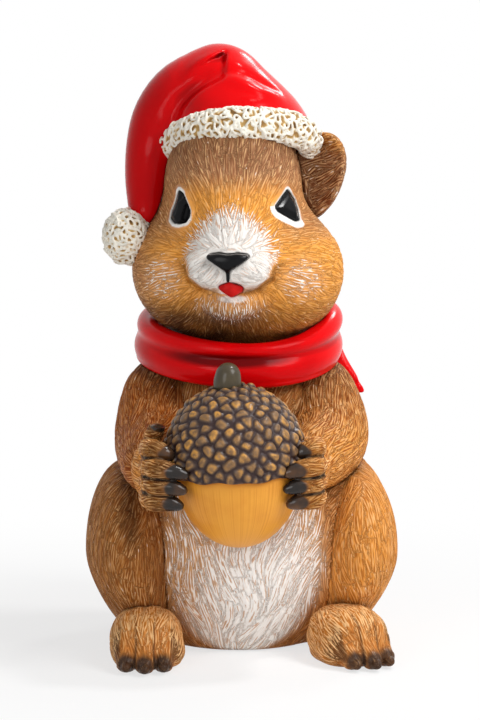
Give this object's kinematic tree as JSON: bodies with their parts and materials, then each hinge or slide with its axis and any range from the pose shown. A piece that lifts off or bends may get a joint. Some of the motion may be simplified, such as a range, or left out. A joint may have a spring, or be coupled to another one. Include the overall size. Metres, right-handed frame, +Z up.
{
  "type": "chipmunk figurine",
  "caption": "Seated chipmunk figurine in a drooping bobble hat and wrapped scarf, hugging an acorn with its front paws; a free-standing painted ornament on a flat base.",
  "frame": {"origin": "middle of the closing plate's underside, on the surface the figurine stands on", "axes": "+Z up, -Y the way the figurine faces, +X its own left"},
  "size_m": [0.0988, 0.1313, 0.1905],
  "materials": {
    "body_fur": "satin",
    "bare_resin": "matte",
    "tail_fur": "satin",
    "leg_fur": "satin",
    "foot_fur": "satin",
    "arm_fur": "satin",
    "paw_fur": "satin",
    "head_fur": "satin",
    "black_gloss": "gloss",
    "tongue_red": "satin",
    "hat_red": "gloss",
    "fleece_white": "matte",
    "scarf_red": "gloss",
    "nut_tan": "satin",
    "cap_brown": "matte",
    "stem_grey": "satin"
  },
  "bodies": {
    "root": {"torso": "body_fur", "base_plate": "bare_resin", "tail": "tail_fur", "right_haunch": "leg_fur", "left_haunch": "leg_fur", "right_foot": "foot_fur", "left_foot": "foot_fur", "right_arm": "arm_fur", "left_arm": "arm_fur", "right_paw": "paw_fur", "left_paw": "paw_fur", "head": "head_fur", "left_ear": "head_fur", "right_eye": "black_gloss", "left_eye": "black_gloss", "nose": "black_gloss", "tongue": "tongue_red", "hat_crown": "hat_red", "hat_brim": "fleece_white", "hat_pompom": "fleece_white", "scarf_collar": "scarf_red", "scarf_end": "scarf_red", "acorn_nut": "nut_tan", "acorn_cap": "cap_brown", "acorn_stem": "stem_grey"}
  },
  "joints": []
}
